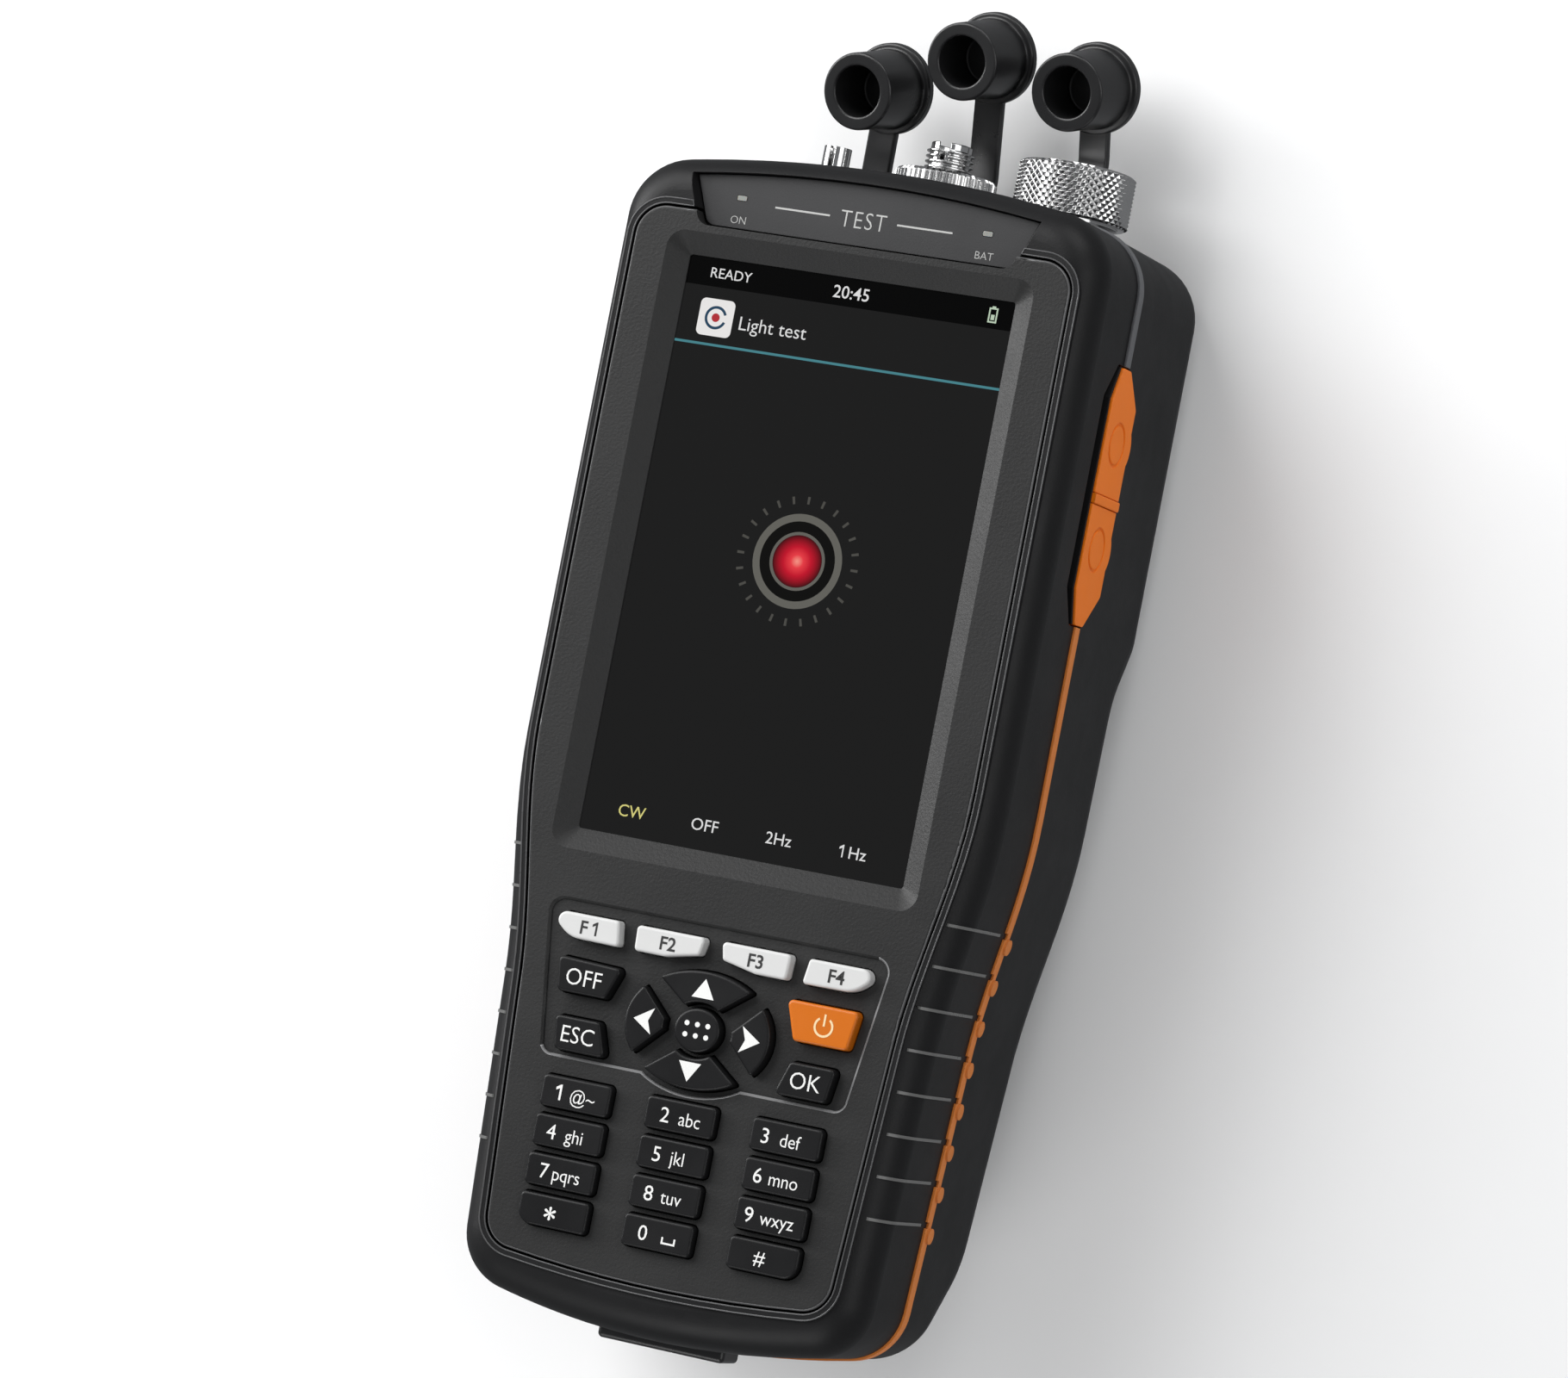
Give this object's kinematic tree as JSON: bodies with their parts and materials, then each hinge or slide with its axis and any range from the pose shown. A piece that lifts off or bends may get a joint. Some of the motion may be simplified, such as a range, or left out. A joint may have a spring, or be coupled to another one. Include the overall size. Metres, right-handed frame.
{
  "type": "optical time domain reflectometer",
  "caption": "Handheld fibre tester with a screen and keypad on the front, optical ports with strapped dust caps on top, and covered side sockets.",
  "frame": {"origin": "middle of the flat back face of the case's thick head, on which the tester lies", "axes": "+X to the right across the screen, +Y along the case towards the optical ports, +Z out of the screen"},
  "size_m": [0.084, 0.2243, 0.057],
  "materials": {
    "case_black": "fine moulded grain, satin",
    "panel_grey": "fine moulded grain",
    "plate_grey": "smooth printed plate",
    "screen_glass": "clear cover over a dark display",
    "module_metal": "plain sheet",
    "light_pipe": "milky",
    "mat_rubber": "silicone",
    "circuit_board": "solder mask",
    "trim_orange": "overmoulded soft trim",
    "trim_grey": "satin",
    "cover_orange": "soft, matt",
    "socket_metal": "plated",
    "socket_black": "moulded",
    "rubber_black": "moulded, slight sheen",
    "battery_wrap": "shrink sleeve",
    "screw_steel": "zinc plated",
    "port_chrome": "nickel plated brass",
    "key_black": "coated silicone",
    "key_white": "coated silicone",
    "key_orange": "coated silicone"
  },
  "bodies": {
    "case": {"front_housing": "case_black", "rear_housing": "case_black", "battery_door": "case_black", "front_panel": "panel_grey", "nameplate": "plate_grey", "display_window": "screen_glass", "display_module": "module_metal", "led_light_pipes": "light_pipe", "keypad_mat": "mat_rubber", "main_board": "circuit_board", "seam_trim": "trim_orange", "seam_band": "trim_grey", "port_cover_spine": "cover_orange", "usb_socket": "socket_metal", "host_socket": "socket_metal", "charge_jack": "socket_black", "battery_pack": "battery_wrap", "optics_module": "module_metal", "vfl_laser": "module_metal", "case_screws": "screw_steel", "battery_door_screws": "screw_steel", "vfl_port": "port_chrome", "fc_adapter": "port_chrome", "meter_port": "port_chrome", "cap_anchors": "rubber_black"},
    "port_cover_upper": {"port_cover_upper": "cover_orange"},
    "port_cover_lower": {"port_cover_lower": "cover_orange"},
    "bottom_cover": {"bottom_cover": "rubber_black"},
    "fc_ring": {"fc_ring": "port_chrome"},
    "meter_adapter": {"meter_adapter": "port_chrome"},
    "vfl_dust_cap": {"vfl_dust_cap": "rubber_black"},
    "fc_dust_cap": {"fc_dust_cap": "rubber_black"},
    "meter_dust_cap": {"meter_dust_cap": "rubber_black"},
    "key_f1": {"key_f1": "key_white"},
    "key_f2": {"key_f2": "key_white"},
    "key_f3": {"key_f3": "key_white"},
    "key_f4": {"key_f4": "key_white"},
    "key_off": {"key_off": "key_black"},
    "key_power": {"key_power": "key_orange"},
    "key_esc": {"key_esc": "key_black"},
    "key_ok": {"key_ok": "key_black"},
    "key_1": {"key_1": "key_black"},
    "key_2": {"key_2": "key_black"},
    "key_3": {"key_3": "key_black"},
    "key_4": {"key_4": "key_black"},
    "key_5": {"key_5": "key_black"},
    "key_6": {"key_6": "key_black"},
    "key_7": {"key_7": "key_black"},
    "key_8": {"key_8": "key_black"},
    "key_9": {"key_9": "key_black"},
    "key_star": {"key_star": "key_black"},
    "key_0": {"key_0": "key_black"},
    "key_hash": {"key_hash": "key_black"},
    "key_up": {"key_up": "key_black"},
    "key_down": {"key_down": "key_black"},
    "key_left": {"key_left": "key_black"},
    "key_right": {"key_right": "key_black"},
    "key_menu": {"key_menu": "key_black"}
  },
  "joints": [
    {"name": "key_f1_press", "type": "slide", "parent": "case", "child": "key_f1", "axis": [0, 0, -1], "range_m": [0, 0.0007], "stiffness_N_per_m": 400},
    {"name": "key_f2_press", "type": "slide", "parent": "case", "child": "key_f2", "axis": [0, 0, -1], "range_m": [0, 0.0007], "stiffness_N_per_m": 400},
    {"name": "key_f3_press", "type": "slide", "parent": "case", "child": "key_f3", "axis": [0, 0, -1], "range_m": [0, 0.0007], "stiffness_N_per_m": 400},
    {"name": "key_f4_press", "type": "slide", "parent": "case", "child": "key_f4", "axis": [0, 0, -1], "range_m": [0, 0.0007], "stiffness_N_per_m": 400},
    {"name": "key_off_press", "type": "slide", "parent": "case", "child": "key_off", "axis": [0, 0, -1], "range_m": [0, 0.0007], "stiffness_N_per_m": 400},
    {"name": "key_power_press", "type": "slide", "parent": "case", "child": "key_power", "axis": [0, 0, -1], "range_m": [0, 0.0007], "stiffness_N_per_m": 400},
    {"name": "key_esc_press", "type": "slide", "parent": "case", "child": "key_esc", "axis": [0, 0, -1], "range_m": [0, 0.0007], "stiffness_N_per_m": 400},
    {"name": "key_ok_press", "type": "slide", "parent": "case", "child": "key_ok", "axis": [0, 0, -1], "range_m": [0, 0.0007], "stiffness_N_per_m": 400},
    {"name": "key_1_press", "type": "slide", "parent": "case", "child": "key_1", "axis": [0, 0, -1], "range_m": [0, 0.0007], "stiffness_N_per_m": 400},
    {"name": "key_2_press", "type": "slide", "parent": "case", "child": "key_2", "axis": [0, 0, -1], "range_m": [0, 0.0007], "stiffness_N_per_m": 400},
    {"name": "key_3_press", "type": "slide", "parent": "case", "child": "key_3", "axis": [0, 0, -1], "range_m": [0, 0.0007], "stiffness_N_per_m": 400},
    {"name": "key_4_press", "type": "slide", "parent": "case", "child": "key_4", "axis": [0, 0, -1], "range_m": [0, 0.0007], "stiffness_N_per_m": 400},
    {"name": "key_5_press", "type": "slide", "parent": "case", "child": "key_5", "axis": [0, 0, -1], "range_m": [0, 0.0007], "stiffness_N_per_m": 400},
    {"name": "key_6_press", "type": "slide", "parent": "case", "child": "key_6", "axis": [0, 0, -1], "range_m": [0, 0.0007], "stiffness_N_per_m": 400},
    {"name": "key_7_press", "type": "slide", "parent": "case", "child": "key_7", "axis": [0, 0, -1], "range_m": [0, 0.0007], "stiffness_N_per_m": 400},
    {"name": "key_8_press", "type": "slide", "parent": "case", "child": "key_8", "axis": [0, 0, -1], "range_m": [0, 0.0007], "stiffness_N_per_m": 400},
    {"name": "key_9_press", "type": "slide", "parent": "case", "child": "key_9", "axis": [0, 0, -1], "range_m": [0, 0.0007], "stiffness_N_per_m": 400},
    {"name": "key_star_press", "type": "slide", "parent": "case", "child": "key_star", "axis": [0, 0, -1], "range_m": [0, 0.0007], "stiffness_N_per_m": 400},
    {"name": "key_0_press", "type": "slide", "parent": "case", "child": "key_0", "axis": [0, 0, -1], "range_m": [0, 0.0007], "stiffness_N_per_m": 400},
    {"name": "key_hash_press", "type": "slide", "parent": "case", "child": "key_hash", "axis": [0, 0, -1], "range_m": [0, 0.0007], "stiffness_N_per_m": 400},
    {"name": "key_up_press", "type": "slide", "parent": "case", "child": "key_up", "axis": [0, 0, -1], "range_m": [0, 0.0007], "stiffness_N_per_m": 400},
    {"name": "key_down_press", "type": "slide", "parent": "case", "child": "key_down", "axis": [0, 0, -1], "range_m": [0, 0.0007], "stiffness_N_per_m": 400},
    {"name": "key_left_press", "type": "slide", "parent": "case", "child": "key_left", "axis": [0, 0, -1], "range_m": [0, 0.0007], "stiffness_N_per_m": 400},
    {"name": "key_right_press", "type": "slide", "parent": "case", "child": "key_right", "axis": [0, 0, -1], "range_m": [0, 0.0007], "stiffness_N_per_m": 400},
    {"name": "key_menu_press", "type": "slide", "parent": "case", "child": "key_menu", "axis": [0, 0, -1], "range_m": [0, 0.0007], "stiffness_N_per_m": 400},
    {"name": "upper_flap", "type": "hinge", "parent": "case", "child": "port_cover_upper", "pos_m": [0.0419, -0.0064, 0.033], "axis": [0, 0, -1], "range_deg": [0, 90]},
    {"name": "lower_flap", "type": "hinge", "parent": "case", "child": "port_cover_lower", "pos_m": [0.0419, -0.0082, 0.033], "axis": [0, 0, 1], "range_deg": [0, 90]},
    {"name": "bottom_flap", "type": "hinge", "parent": "case", "child": "bottom_cover", "pos_m": [0, -0.1527, 0.04], "axis": [1, 0, 0], "range_deg": [0, 100]},
    {"name": "fc_ring_turn", "type": "hinge", "parent": "case", "child": "fc_ring", "pos_m": [-0.001, 0.0405, 0.0185], "axis": [0, 1, 0], "continuous": true},
    {"name": "meter_adapter_turn", "type": "hinge", "parent": "case", "child": "meter_adapter", "pos_m": [0.0214, 0.042, 0.0185], "axis": [0, 1, 0], "continuous": true},
    {"name": "vfl_cap_swing", "type": "hinge", "parent": "case", "child": "vfl_dust_cap", "pos_m": [-0.0181, 0.03956, 0.0073], "axis": [0.986, -0.1298, 0.1045], "range_deg": [-70, 8], "stiffness_Nm_per_rad": 0.02},
    {"name": "fc_cap_swing", "type": "hinge", "parent": "case", "child": "fc_dust_cap", "pos_m": [0.0009, 0.03977, 0.0073], "axis": [0.9942, -0.026, 0.1045], "range_deg": [-70, 8], "stiffness_Nm_per_rad": 0.02},
    {"name": "meter_cap_swing", "type": "hinge", "parent": "case", "child": "meter_dust_cap", "pos_m": [0.0199, 0.03916, 0.0073], "axis": [0.9942, 0.026, 0.1045], "range_deg": [-70, 0], "stiffness_Nm_per_rad": 0.02}
  ]
}
